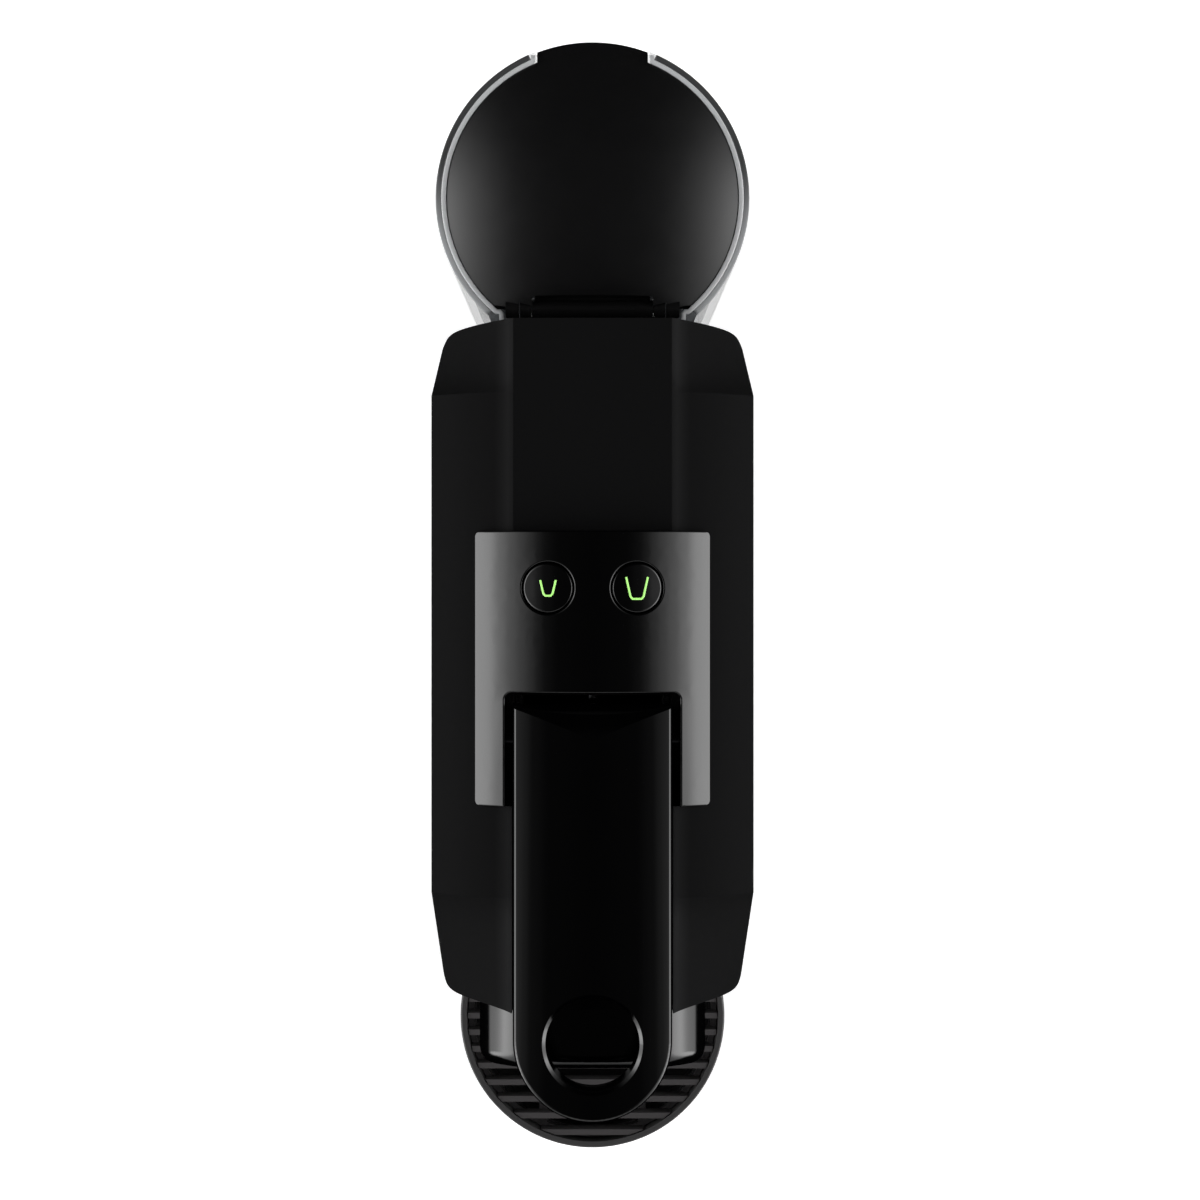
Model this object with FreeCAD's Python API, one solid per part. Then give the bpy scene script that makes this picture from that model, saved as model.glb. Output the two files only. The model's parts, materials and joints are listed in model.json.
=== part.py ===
"""Pod coffee machine, in millimetres. X is across, the front faces -Y, +Z is up, and z = 0 is the table.

A narrow body stands between a round water tank at the back and a round drip tray at the front.
Each section below makes the separate pieces of one sub-assembly; each piece is one STEP file in parts/.
"""
import math
import os

import FreeCAD
import Part

V = FreeCAD.Vector

# ---- driving dimensions -------------------------------------------------------------------------
HALF_W = 42.5            # half the body's width, and the radius of the tank and the tray
ROUND_Y = 121.5          # tank centre at +Y, tray centre at -Y
BODY_TOP = 197.0         # flat middle of the matte cover
FLAT_HALF = 20.5         # half width of that flat
BODY_REAR, BODY_FRONT = 85.7, -94.2
SIDE_REAR, SIDE_FRONT = 66.6, -64.3   # where the flat side's top edge starts to slope down
SIDE_TOP = 183.5         # top edge of the flat side
SIDE_LOW = 130.0         # the same edge at the body's two ends
HEAD_LOW = 112.0         # underside of the body's front, over the cup
LOW_FRONT = -78.4        # front wall of the body behind the cup
BASE_Z = 14.0            # top of the base plate
FOOT_H = 3.0
WALL = 2.4
TANK_TOP = 167.0
TANK_FLAT_Y = 87.5       # flat front face of the tank
STAND_R = 37.5           # round stand under the tank
NECK_INSET = 7.6         # how far the tank's foot, inside the stand, is drawn in
LID_R = 88.0             # radius of the lid's dome
TRAY_TOP = 42.0
SLAT_PITCH = 5.36
GAP = 0.3                # running gap between separate covers

LEVER_TOP, LEVER_EDGE = 204.0, 200.6
LEVER_HALF = 20.5
LEVER_REAR, LEVER_TIP_Y = -14.0, -100.5   # back edge, and the centre of the round tip
HOLE_Y, HOLE_R = -101.0, 12.1
GROOVE_HALF = 22.6       # beside the lever's back end; further forward the lever fills its groove
GROOVE_FRONT_HALF = 20.85
NOTCH_Y = -11.0          # back edge of the lever's groove
GROOVE_FLOOR = 190.4

PIVOT = (-23.0, 193.0)   # lever axis (y, z)
LEVER_SWING = 80.0
CAGE_TRAVEL = 30.0       # how far the cage draws back while the lever swings open
CAGE_PIN = (-65.0, 158.0)     # the pin (y, z) that the lever's cam plates move, lever shut
PIN_R = 1.8
BREW_Z = 138.0           # height of the brewing axis
CAGE_FRONT, CAGE_LEN, CAGE_R = -83.6, 33.0, 17.4
PLATE_Y = -87.8          # back of the extraction plate
NOSE_Y = -110.6          # front of the nose
SPOUT_Y = -101.5

BUTTON_X, BUTTON_Y, BUTTON_R = 11.4, 15.9, 6.4
PANEL_REAR, PANEL_LEGS, PANEL_HALF = 30.6, -40.5, 30.6

OUT = "parts"
os.makedirs(OUT, exist_ok=True)


# ---- helpers ------------------------------------------------------------------------------------
def box(x0, x1, y0, y1, z0, z1):
    return Part.makeBox(x1 - x0, y1 - y0, z1 - z0, V(x0, y0, z0))


def rod(p, direction, radius, length):
    return Part.makeCylinder(radius, length, V(*p), V(*direction))


def tube(p, direction, outer, inner, length):
    return rod(p, direction, outer, length).cut(rod(p, direction, inner, length))


def both(shape):
    """The shape and its mirror image across X = 0."""
    return [shape, shape.mirror(V(0, 0, 0), V(1, 0, 0))]


def polygon(points):
    return Part.Face(Part.makePolygon([V(*p) for p in points] + [V(*points[0])]))


def prism_yz(points, x0, x1):
    """A (y, z) outline extruded from x0 to x1."""
    return polygon([(x0, y, z) for y, z in points]).extrude(V(x1 - x0, 0, 0))


def spline(points):
    curve = Part.BSplineCurve()
    curve.interpolate([V(*p) for p in points])
    return curve.toShape()


def line(a, b):
    return Part.makeLine(V(*a), V(*b))


def fuse(shapes):
    return shapes[0].multiFuse(shapes[1:]).removeSplitter() if len(shapes) > 1 else shapes[0]


def cut(shape, tools):
    return shape.cut(tools)


def fillet_where(shape, radius, test):
    """Rounds the edges whose middle point passes the test."""
    chosen = [e for e in shape.Edges if test(e.valueAt((e.FirstParameter + e.LastParameter) / 2))]
    return shape.makeFillet(radius, chosen) if chosen else shape


def stadium(half, y_back, y_tip, z0, z1):
    """A bar with a square back end and a round front end."""
    bar = box(-half, half, y_tip, y_back, z0, z1)
    return bar.fuse(rod((0, y_tip, z0), (0, 0, 1), half, z1 - z0)).removeSplitter()


def hose(points, radius, bend):
    """A round hose along straight runs joined by arcs of the given bend radius."""
    pts = [V(*p) for p in points]
    edges = []
    start = pts[0]
    for before, corner, after in zip(pts, pts[1:], pts[2:]):
        d0 = (corner - before).normalize()
        d1 = (after - corner).normalize()
        turn = d0.getAngle(d1)
        back = bend * math.tan(turn / 2)
        a, b = corner - d0 * back, corner + d1 * back
        inward = (d1 - d0).normalize()
        mid = corner + inward * (bend / math.cos(turn / 2) - bend)
        edges += [Part.makeLine(start, a), Part.Arc(a, mid, b).toShape()]
        start = b
    edges.append(Part.makeLine(start, pts[-1]))
    path = Part.Wire(edges)
    first = (pts[1] - pts[0]).normalize()
    ring = Part.Wire(Part.makeCircle(radius, pts[0], first))
    return path.makePipeShell([ring], True, False)


def save(name, shapes):
    """Writes one node; a list of separate solids stays separate."""
    if not isinstance(shapes, list):
        shapes = [shapes]
    solids = [s for shape in shapes for s in shape.Solids]
    result = solids[0] if len(solids) == 1 else Part.makeCompound(solids)
    result.exportStep(os.path.join(OUT, name + ".step"))
    print(f"{name:24s} solids {len(solids)} valid {result.isValid()} volume {result.Volume / 1000:8.2f} cm3")


# ---- body shape ---------------------------------------------------------------------------------
# Half sections (x, z) from the crease of the flat top, over the shoulder, to the flat side.
REAR_SECTION = [(FLAT_HALF, BODY_TOP), (30.6, 180.0), (36.8, 164.5), (40.6, 145.0), (HALF_W, SIDE_LOW)]
MID_SECTION = [(FLAT_HALF, BODY_TOP), (28.5, 194.0), (34.8, 190.6), (39.4, 186.9), (HALF_W, SIDE_TOP)]
FRONT_SECTION = [(FLAT_HALF, BODY_TOP), (31.4, 175.0), (37.4, 162.0), (40.8, 146.0), (HALF_W, SIDE_LOW)]


def inward(points, inset):
    """Moves a half section towards the inside by the inset, along its own normals."""
    moved = []
    for i, (x, z) in enumerate(points):
        x0, z0 = points[max(i - 1, 0)]
        x1, z1 = points[min(i + 1, len(points) - 1)]
        size = math.hypot(x1 - x0, z1 - z0)
        moved.append((x - inset * (z0 - z1) / size, z - inset * (x1 - x0) / size))
    moved[0] = (points[0][0] - 0.4 * inset, points[0][1] - inset)
    moved[-1] = (points[-1][0] - inset, points[-1][1] - 0.4 * inset)
    return moved


def section_wire(y, points, bottom):
    right = [(x, y, z) for x, z in points]
    left = [(-x, y, z) for x, z in reversed(points)]
    foot_r, foot_l = (right[-1][0], y, bottom), (left[0][0], y, bottom)
    return Part.Wire([
        line(left[-1], right[0]),
        spline(right),
        line(right[-1], foot_r),
        line(foot_r, foot_l),
        line(foot_l, left[0]),
        spline(left),
    ])


def body_solid(inset, bottom):
    stations = [
        (BODY_REAR - inset, REAR_SECTION),
        (SIDE_REAR, MID_SECTION),
        (SIDE_FRONT, MID_SECTION),
        (BODY_FRONT + inset, FRONT_SECTION),
    ]
    wires = [section_wire(y, inward(s, inset) if inset else s, bottom) for y, s in stations]
    return Part.makeLoft(wires, True, True)


def below_head(inset):
    """What is taken from under the front of the body: the room behind the cup."""
    return prism_yz(
        [(BODY_FRONT - 5, HEAD_LOW + inset), (BODY_FRONT + inset, HEAD_LOW + inset),
         (LOW_FRONT + inset, 98 + inset), (LOW_FRONT + inset, -5), (BODY_FRONT - 5, -5)], -60, 60)


SIDE_OUTLINE = [(SIDE_REAR, SIDE_TOP), (BODY_REAR, SIDE_LOW), (BODY_REAR, BASE_Z), (LOW_FRONT, BASE_Z),
                (LOW_FRONT, 98), (BODY_FRONT, HEAD_LOW), (BODY_FRONT, SIDE_LOW), (SIDE_FRONT, SIDE_TOP)]
PANEL_RIM = 3.0          # rim of the cover left around each side panel


def side_prism(inset, x0, x1):
    """The flat side's outline, drawn in by the inset, extruded across."""
    wire = Part.makePolygon([V(0, y, z) for y, z in SIDE_OUTLINE + SIDE_OUTLINE[:1]])
    smaller = wire.makeOffset2D(-inset, 2, False)
    face = Part.Face(smaller)
    face.translate(V(x0, 0, 0))
    return face.extrude(V(x1 - x0, 0, 0))


def panel_crown(y0, y1, lift, half):
    """A bar whose top follows the control panel's curve: high in the middle, down to the shoulders."""
    side = [(12, 202.5), (22, 199.0), (half, 194.4)]
    top = [(-x, z) for x, z in reversed(side)] + [(0, LEVER_TOP)] + side
    pts = [(x, y0, z + lift) for x, z in top]
    foot = 180.0
    wire = Part.Wire([
        spline(pts),
        line(pts[-1], (half, y0, foot)),
        line((half, y0, foot), (-half, y0, foot)),
        line((-half, y0, foot), pts[0]),
    ])
    return Part.Face(wire).extrude(V(0, y1 - y0, 0))


def body_outer():
    """The body's outside, with its upright corners rounded below the sloping edges."""
    def corner(p):
        return abs(abs(p.x) - HALF_W) < 0.05 and (
            (abs(p.y - BODY_REAR) < 0.05 and p.z < 125) or (abs(p.y - LOW_FRONT) < 0.05 and p.z < 96))
    return fillet_where(body_solid(0, BASE_Z).cut(below_head(0)), 2.2, corner)


BODY_OUTER = body_outer()


# ---- housing ------------------------------------------------------------------------------------
def make_housing():
    shell = BODY_OUTER.cut(body_solid(WALL, BASE_Z - 1).cut(below_head(WALL)))
    groove_walls = box(-GROOVE_HALF - 1.6, GROOVE_HALF + 1.6, BODY_FRONT + 0.5, NOTCH_Y + 1.6,
                       GROOVE_FLOOR - 2.2, 199)
    bosses = [rod((x, 26, 189), (0, 0, 1), 2.8, 6.5) for x in (-15, 15)]
    pin_bosses = both(rod((GROOVE_HALF, *PIVOT), (1, 0, 0), 3.4, 3.4).common(body_solid(1, BASE_Z)))
    shell = shell.multiFuse([groove_walls.common(BODY_OUTER)] + bosses + pin_bosses)
    openings = [
        fillet_where(box(-GROOVE_HALF, GROOVE_HALF, PANEL_LEGS, NOTCH_Y, GROOVE_FLOOR, 210), 2.0,
                     lambda p: p.y > NOTCH_Y - 0.1 and abs(p.z - 200) < 1),
        box(-GROOVE_FRONT_HALF, GROOVE_FRONT_HALF, BODY_FRONT - 5, PANEL_LEGS, GROOVE_FLOOR, 210),
        box(-20.8, 20.8, -84.0, NOTCH_Y - 1.0, 180, 192),                            # well for pod and cams
        box(-26.0, 26.0, BODY_FRONT - 5, BODY_FRONT + 4, 129.4, 178),                # behind the nose
        box(-33.8, 33.8, LOW_FRONT - 5, LOW_FRONT + 8, 0, 96.5),                     # pull-out tray
        rod((-26, *PIVOT), (1, 0, 0), PIN_R, 52),
    ]
    for x in (-BUTTON_X, BUTTON_X):
        openings.append(rod((x, BUTTON_Y, 190), (0, 0, 1), 3.6, 20))
    shell = cut(shell, openings)
    shell = cut(shell, [rod((x, 26, 180), (0, 0, 1), 1.2, 13) for x in (-15, 15)])
    windows = both(side_prism(PANEL_RIM, HALF_W - WALL - 1, HALF_W + 1))
    shell = cut(shell, windows)
    save("top_cover", shell.removeSplitter())
    panel = side_prism(PANEL_RIM + GAP, HALF_W - WALL, HALF_W)
    panel = fillet_where(panel, 0.5, lambda p: p.x > HALF_W - 0.01)
    clips = [box(HALF_W - WALL - 3, HALF_W - WALL, y, y + 8, z, z + 2)
             for y, z in ((-50, 150), (20, 150), (-50, 22), (20, 22), (74, 80))]
    right = fuse([panel] + clips)
    save("side_panel_right", right)
    save("side_panel_left", right.mirror(V(0, 0, 0), V(1, 0, 0)))


def make_nose():
    """The gloss head under the lever's tip: flat in the middle, rolled down at its sides and its front."""
    def block(inset):
        half = 30.3 - inset
        y_front = NOSE_Y + inset
        side = prism_yz(
            [(BODY_FRONT, 200), (y_front, 200), (y_front, 150), (y_front + 0.6, 129 + inset),
             (y_front + 2.4, 127 + inset), (BODY_FRONT, 127 + inset)], -40, 40)
        curve = [(0, 188.2), (14, 187.9), (19, 187.0), (22, 185.5), (24, 184.15), (26, 182.55), (28, 180.65),
                 (29.4, 178.5), (30.1, 175), (30.3, 168)]
        points = [(x * half / 30.3, -140, z - inset) for x, z in curve]
        points = [(-x, y, z) for x, y, z in reversed(points[1:])] + points
        face = Part.Face(Part.Wire([
            spline(points), line(points[-1], (half, -140, 110)),
            line((half, -140, 110), (-half, -140, 110)), line((-half, -140, 110), points[0])]))
        plan = box(-half, half, y_front, BODY_FRONT, 100, 200)
        plan = fillet_where(plan, 5.0 - inset, lambda p: p.y < y_front + 0.1 and abs(abs(p.x) - half) < 0.1)
        return face.extrude(V(0, 60, 0)).common(side).common(plan)

    outer = block(0)
    outer = fillet_where(outer, 4.2, lambda p: p.y < NOSE_Y + 0.1 and p.z > 183)
    inner = block(2.0)
    nose = outer.cut(inner)
    nose = cut(nose, [rod((0, SPOUT_Y, 100), (0, 0, 1), 4.4, 40)])
    save("nose_cover", nose)


def on_panel_top(edge):
    """True for the edges round the control panel's curved top."""
    middle = edge.valueAt((edge.FirstParameter + edge.LastParameter) / 2)
    probe = Part.Vertex(middle)
    top = panel_crown(PANEL_LEGS - 1, PANEL_REAR + 1, 0, PANEL_HALF + 1).Faces[0]
    return probe.distToShape(top)[0] < 0.01


def make_panel():
    panel = panel_crown(PANEL_LEGS, PANEL_REAR, 0, PANEL_HALF)
    plan = box(-PANEL_HALF, PANEL_HALF, PANEL_LEGS, PANEL_REAR, 150, 220)
    panel = panel.common(fillet_where(plan, 1.3, lambda p: abs(p.z - 185) < 1))
    notch = box(-GROOVE_HALF, GROOVE_HALF, PANEL_LEGS - 5, NOTCH_Y, 150, 220)
    panel = panel.cut(fillet_where(notch, 2.0, lambda p: p.y > NOTCH_Y - 0.1 and abs(p.z - 185) < 1))
    panel = cut(panel, [BODY_OUTER])
    holes = [rod((x, BUTTON_Y, 190), (0, 0, 1), BUTTON_R + 0.35, 20) for x in (-BUTTON_X, BUTTON_X)]
    panel = cut(panel, holes)
    panel = Part.makeCompound([s for s in panel.Solids if s.Volume > 500]).Solids[0]
    save("control_panel", panel.makeFillet(0.4, [e for e in panel.Edges if on_panel_top(e)]))


def make_buttons():
    for name, x in (("espresso", -BUTTON_X), ("lungo", BUTTON_X)):
        cap = rod((x, BUTTON_Y, 199.2), (0, 0, 1), BUTTON_R, 10)
        cap = cap.common(panel_crown(0, 40, -0.05, PANEL_HALF))
        cap = fillet_where(cap, 0.6, lambda p: p.z > 199.9)
        stem = rod((x, BUTTON_Y, 194.2), (0, 0, 1), 3.0, 6.0)
        save(name + "_button", cap.fuse(stem).removeSplitter())


SCREW_SPOTS = [(x, y) for x in (-38.2, 38.2) for y in (-66, -12, 78)]

CORD_Y, CORD_Z = 50.0, 8.5


def make_base():
    plate = box(-HALF_W, HALF_W, LOW_FRONT, BODY_REAR, FOOT_H, BASE_Z)
    plate = fillet_where(plate, 2.2, lambda p: abs(p.z - (FOOT_H + BASE_Z) / 2) < 0.1)
    hollow = box(-HALF_W + 3, HALF_W - 3, -2, BODY_REAR - 3, FOOT_H + 2.5, BASE_Z + 5)
    tongue = box(-34, 34, LOW_FRONT - 5, -4, -5, 40)
    duct = box(-5, 5, BODY_REAR - 5, 112, FOOT_H + 2, 9.8)
    cord_hole = rod((HALF_W - 12, CORD_Y, CORD_Z), (1, 0, 0), 3.6, 20)
    screw_holes = [rod((x, y, 0), (0, 0, 1), 3.4, 5.6) for x, y in SCREW_SPOTS]
    screw_holes += [rod((x, y, 5.6), (0, 0, 1), 1.5, 12.0) for x, y in SCREW_SPOTS]
    save("base_plate", cut(plate, [hollow, tongue, duct, cord_hole] + screw_holes))

    stand = rod((0, ROUND_Y, FOOT_H), (0, 0, 1), STAND_R, 16.5 - FOOT_H)
    seat = rod((0, ROUND_Y, 10), (0, 0, 1), STAND_R - 2.2, 20)
    seat = seat.common(box(-50, 50, TANK_FLAT_Y + NECK_INSET - 0.4, 200, 0, 40))
    socket = rod((0, 110, 5), (0, 0, 1), 3.1, 10)
    behind_body = [box(-50, 50, 0, BODY_REAR, 0, 40), box(-50, 50, 0, BODY_REAR + GAP, BASE_Z, 20)]
    save("tank_base", cut(stand, [seat, duct, socket] + behind_body))
    save("cord_inlet_collar", tube((HALF_W - 9, CORD_Y, CORD_Z), (1, 0, 0), 3.6, 2.6, 9.0))
    feet = [rod((x, y, 0), (0, 0, 1), 6.0, FOOT_H) for x, y in ((-33, 4), (33, 4), (-24, 140), (24, 140))]
    save("rubber_feet", feet)
    screws = [rod((x, y, 3.6), (0, 0, 1), 3.0, 2.0).fuse(rod((x, y, 5.6), (0, 0, 1), 1.5, 8.0))
              for x, y in SCREW_SPOTS]
    save("base_screws", [s.removeSplitter() for s in screws])


# ---- lever and brewing unit ---------------------------------------------------------------------
def crowned_lever():
    """The lever's top shell: a bar with a round tip, crowned across, its back rounded about the pivot."""
    bar = stadium(LEVER_HALF, LEVER_REAR, LEVER_TIP_Y, 194.2, 206)
    rise = LEVER_TOP - LEVER_EDGE
    radius = (LEVER_HALF ** 2 + rise ** 2) / (2 * rise)
    crown = rod((0, 20, LEVER_TOP - radius), (0, -1, 0), radius, 160)
    ahead = box(-30, 30, -150, PIVOT[0], 190, 210)
    around = rod((-30, *PIVOT), (1, 0, 0), LEVER_TOP - PIVOT[1], 60)
    return bar.common(crown).common(ahead.fuse(around))


def cam_path(degrees):
    """Where the cage pin lies on the lever's cam plate, relative to the pivot, at a lever angle."""
    a = math.radians(degrees)
    y = CAGE_PIN[0] - PIVOT[0] + CAGE_TRAVEL * degrees / LEVER_SWING
    z = CAGE_PIN[1] - PIVOT[1]
    return y * math.cos(a) - z * math.sin(a), y * math.sin(a) + z * math.cos(a)


def ribbon(half, x0, x1):
    """A strip of the given half width along the cam path, with round ends."""
    sides = ([], [])
    angles = [i * LEVER_SWING / 16 for i in range(17)]
    for angle in angles:
        y, z = cam_path(angle)
        y1, z1 = cam_path(angle + 0.5)
        y0, z0 = cam_path(angle - 0.5)
        size = math.hypot(y1 - y0, z1 - z0)
        ny, nz = -(z1 - z0) / size, (y1 - y0) / size
        for side, sign in zip(sides, (1, -1)):
            side.append((x0, PIVOT[0] + y + sign * half * ny, PIVOT[1] + z + sign * half * nz))
    left, right = sides
    wire = Part.Wire([spline(left), line(left[-1], right[-1]), spline(right), line(right[0], left[0])])
    strip = Part.Face(wire).extrude(V(x1 - x0, 0, 0))
    ends = [rod((x0, PIVOT[0] + cam_path(a)[0], PIVOT[1] + cam_path(a)[1]), (1, 0, 0), half, x1 - x0)
            for a in (angles[0], angles[-1])]
    return fuse([strip] + ends)


def make_cams():
    x0, x1 = 18.7, 20.1
    path = [cam_path(i * LEVER_SWING / 12) for i in range(13)]
    fan = [PIVOT] + [(PIVOT[0] + y, PIVOT[1] + z) for y, z in path]
    web = prism_yz(fan, x0, x1)
    hub = rod((x0, *PIVOT), (1, 0, 0), 6.0, x1 - x0)
    arm = prism_yz([(-58, 194.2), (PIVOT[0] + 4, 194.2), (PIVOT[0] + 4, 186), (-50, 165)], x0, x1)
    plate = fuse([ribbon(5.4, x0, x1), web, hub, arm])
    plate = plate.cut(rod((x0 - 1, *PIVOT), (1, 0, 0), PIN_R + 0.06, 5))
    plate = plate.cut(ribbon(PIN_R + 0.1, x0 - 1, x1 + 1))
    windows = [rod((x0 - 1, PIVOT[0] + r * math.cos(a), PIVOT[1] + r * math.sin(a)), (1, 0, 0), 4.5, 5)
               for r, a in ((24, math.radians(232)), (22, math.radians(265)), (20, math.radians(298)))]
    windows.append(box(x0 - 1, x1 + 1, PIVOT[0] - 9, PIVOT[0] + 9, 194.2, 200))
    save("lever_cam_plates", both(cut(plate, windows)))


def make_lever():
    top = crowned_lever()
    top = fillet_where(top, 1.3, lambda p: p.z > LEVER_EDGE - 0.05 and p.y < PIVOT[0] - 1)
    hole = rod((0, HOLE_Y, 180), (0, 0, 1), HOLE_R, 40)
    top = cut(top, [hole])
    rim = [e for e in top.Edges if e.BoundBox.ZMin > 200
           and HOLE_Y - 13 < e.BoundBox.YMin and e.BoundBox.YMax < HOLE_Y + 13]
    top = top.makeChamfer(0.85, rim)
    inner = stadium(LEVER_HALF - 2.2, LEVER_REAR - 4.4, LEVER_TIP_Y, 190, 199.4)
    inner = inner.cut(rod((0, HOLE_Y, 180), (0, 0, 1), HOLE_R + 2.2, 40))
    save("lever_cover", cut(top, [inner, rod((-30, *PIVOT), (1, 0, 0), PIN_R + 0.3, 60)]))

    plate = stadium(LEVER_HALF - 0.6, LEVER_REAR - 1.0, LEVER_TIP_Y, 191.6, 194.2)
    plug = stadium(LEVER_HALF - 2.4, LEVER_REAR - 4.6, LEVER_TIP_Y, 194.2, 197.0)
    plug = plug.cut(stadium(LEVER_HALF - 4.2, LEVER_REAR - 6.4, LEVER_TIP_Y, 190, 200)).cut(
        rod((0, HOLE_Y, 180), (0, 0, 1), HOLE_R + 2.4, 40))
    hubs = [rod((x0, *PIVOT), (1, 0, 0), 4.4, 4.6) for x0 in (-18.2, 13.6)]
    frame = fuse([plate, plug] + hubs)
    tools = [rod((0, HOLE_Y, 180), (0, 0, 1), HOLE_R + 0.4, 40),
             rod((-30, *PIVOT), (1, 0, 0), PIN_R + 0.06, 60)]
    tools += both(box(18.7, 20.2, -60, -8, 180, 194.2))
    save("lever_frame", cut(frame, tools))
    save("lever_pivot_pin", rod((-25.8, *PIVOT), (1, 0, 0), PIN_R, 51.6))


def make_cage():
    back = CAGE_FRONT + CAGE_LEN
    y, z = CAGE_PIN
    cage = rod((0, CAGE_FRONT, BREW_Z), (0, 1, 0), CAGE_R, CAGE_LEN)
    lugs = both(box(12.5, 17.6, y - 6, y + 6, BREW_Z, z + 3.6))
    feet = both(box(10.0, 18.2, y - 12, y + 12, 122.6, 130))
    tail = rod((0, back, BREW_Z), (0, 1, 0), 4.0, -15.0 - back)
    cage = fuse([cage] + lugs + feet + [tail])
    cavity = rod((0, CAGE_FRONT - 1, BREW_Z), (0, 1, 0), 15.0, CAGE_LEN - 3)
    rim = rod((0, CAGE_FRONT - 1, BREW_Z), (0, 1, 0), 16.6, 2.6)
    bore = rod((0, back - 6, BREW_Z), (0, 1, 0), 2.06, 60)
    holes = [rod((s * 16.0 - 2.5, y, z), (1, 0, 0), PIN_R, 5.2) for s in (-1, 1)]
    holes += [rod((s * 15.6 - 2.6, y + dy, 126), (1, 0, 0), PIN_R, 5.2) for s in (-1, 1) for dy in (-8, 8)]
    save("brew_cage", cut(cage, [cavity, rim, bore] + holes))
    save("cage_drive_pins", both(rod((13.5, y, z), (1, 0, 0), PIN_R, 9.6)))
    save("cage_guide_pins", both(rod((13.0, y - 8, 126), (1, 0, 0), PIN_R, 10.1)) +
         both(rod((13.0, y + 8, 126), (1, 0, 0), PIN_R, 10.1)))
    spikes = [Part.makeCone(1.3, 0.2, 4.0, V(8 * math.cos(a), back - 4, BREW_Z + 8 * math.sin(a)),
                            V(0, -1, 0)) for a in (math.radians(90 + 120 * i) for i in range(3))]
    save("piercing_pins", spikes)
    save("cage_seal", tube((0, CAGE_FRONT + 0.2, BREW_Z), (0, 1, 0), 16.6, 15.2, 1.4))


def make_brew_frame():
    """Walls around the brewing unit; the cage's pins run in the slots of the two side plates."""
    y, z = CAGE_PIN
    slots = []
    for y0, y1, zc in ((y, y + CAGE_TRAVEL, z), (y - 8, y + 8 + CAGE_TRAVEL, 126)):
        half = PIN_R + 0.09
        slots += [box(-30, 30, y0, y1, zc - half, zc + half), rod((-30, y0, zc), (1, 0, 0), half, 60),
                  rod((-30, y1, zc), (1, 0, 0), half, 60)]
    save("brew_side_plates", [p.cut(slots) for p in both(box(21.0, 23.2, -90.0, -8.0, 113.5, 170))])
    front = box(-21.0, 21.0, -90.0, PLATE_Y, 113.5, 162)
    save("brew_front_wall", front.cut(rod((0, -95, BREW_Z), (0, 1, 0), 12.0, 10)))
    rear = box(-21.0, 21.0, -10.2, -8.0, 113.5, 143).fuse(box(-17.4, 17.4, -10.2, -8.0, 140, 152))
    save("brew_rear_wall", rear.removeSplitter().cut(rod((0, -20, BREW_Z), (0, 1, 0), 4.4, 20)))
    arm = box(23.2, 26.4, -20.0, -8.0, 130, 143).fuse(box(24.3, 26.4, -8.0, 48, 130, 143))
    save("thermoblock_arms", both(arm.removeSplitter()))
    ledge = box(23.2, 36.4, -60, -20, 113.5, 115.9)
    save("brew_unit_legs", both(ledge.fuse(box(34.2, 36.4, -60, -20, BASE_Z, 113.5)).removeSplitter()))
    plate = rod((0, PLATE_Y, BREW_Z), (0, 1, 0), 18.2, 3.2)
    grooves = [box(-20, 20, PLATE_Y + 2.5, PLATE_Y + 4, z - 0.6, z + 0.6)
               for z in (BREW_Z + i * 4 for i in range(-3, 4))]
    drains = [rod((x, PLATE_Y - 5, BREW_Z + i * 8), (0, 1, 0), 0.8, 12)
              for x in (-6, 0, 6) for i in (-1, 0, 1)]
    save("extraction_plate", cut(plate, grooves + drains))
    save("water_lance", tube((0, -46, BREW_Z), (0, 1, 0), 2.0, 1.1, 66))
    funnel = rod((0, -91.4, BREW_Z), (0, 1, 0), 12.0, 3.6)
    duct = prism_yz([(-91.0, 146), (-91.0, 129.6), (SPOUT_Y - 4.0, 129.6), (SPOUT_Y - 4.0, 134), (-98, 140)],
                    -8, 8)
    spout = rod((0, SPOUT_Y, 121.5), (0, 0, 1), 4.0, 10)
    outlet = fuse([funnel, duct, spout])
    channel = prism_yz([(-90.0, 144), (-90.0, 131.2), (SPOUT_Y - 2.8, 131.2), (SPOUT_Y - 2.8, 133),
                        (-98, 138.4)], -6.4, 6.4)
    inner = fuse([rod((0, -90.4, BREW_Z), (0, 1, 0), 10.2, 6.0), channel,
                  rod((0, SPOUT_Y, 110), (0, 0, 1), 2.8, 22)])
    save("coffee_outlet", outlet.cut(inner))


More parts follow.
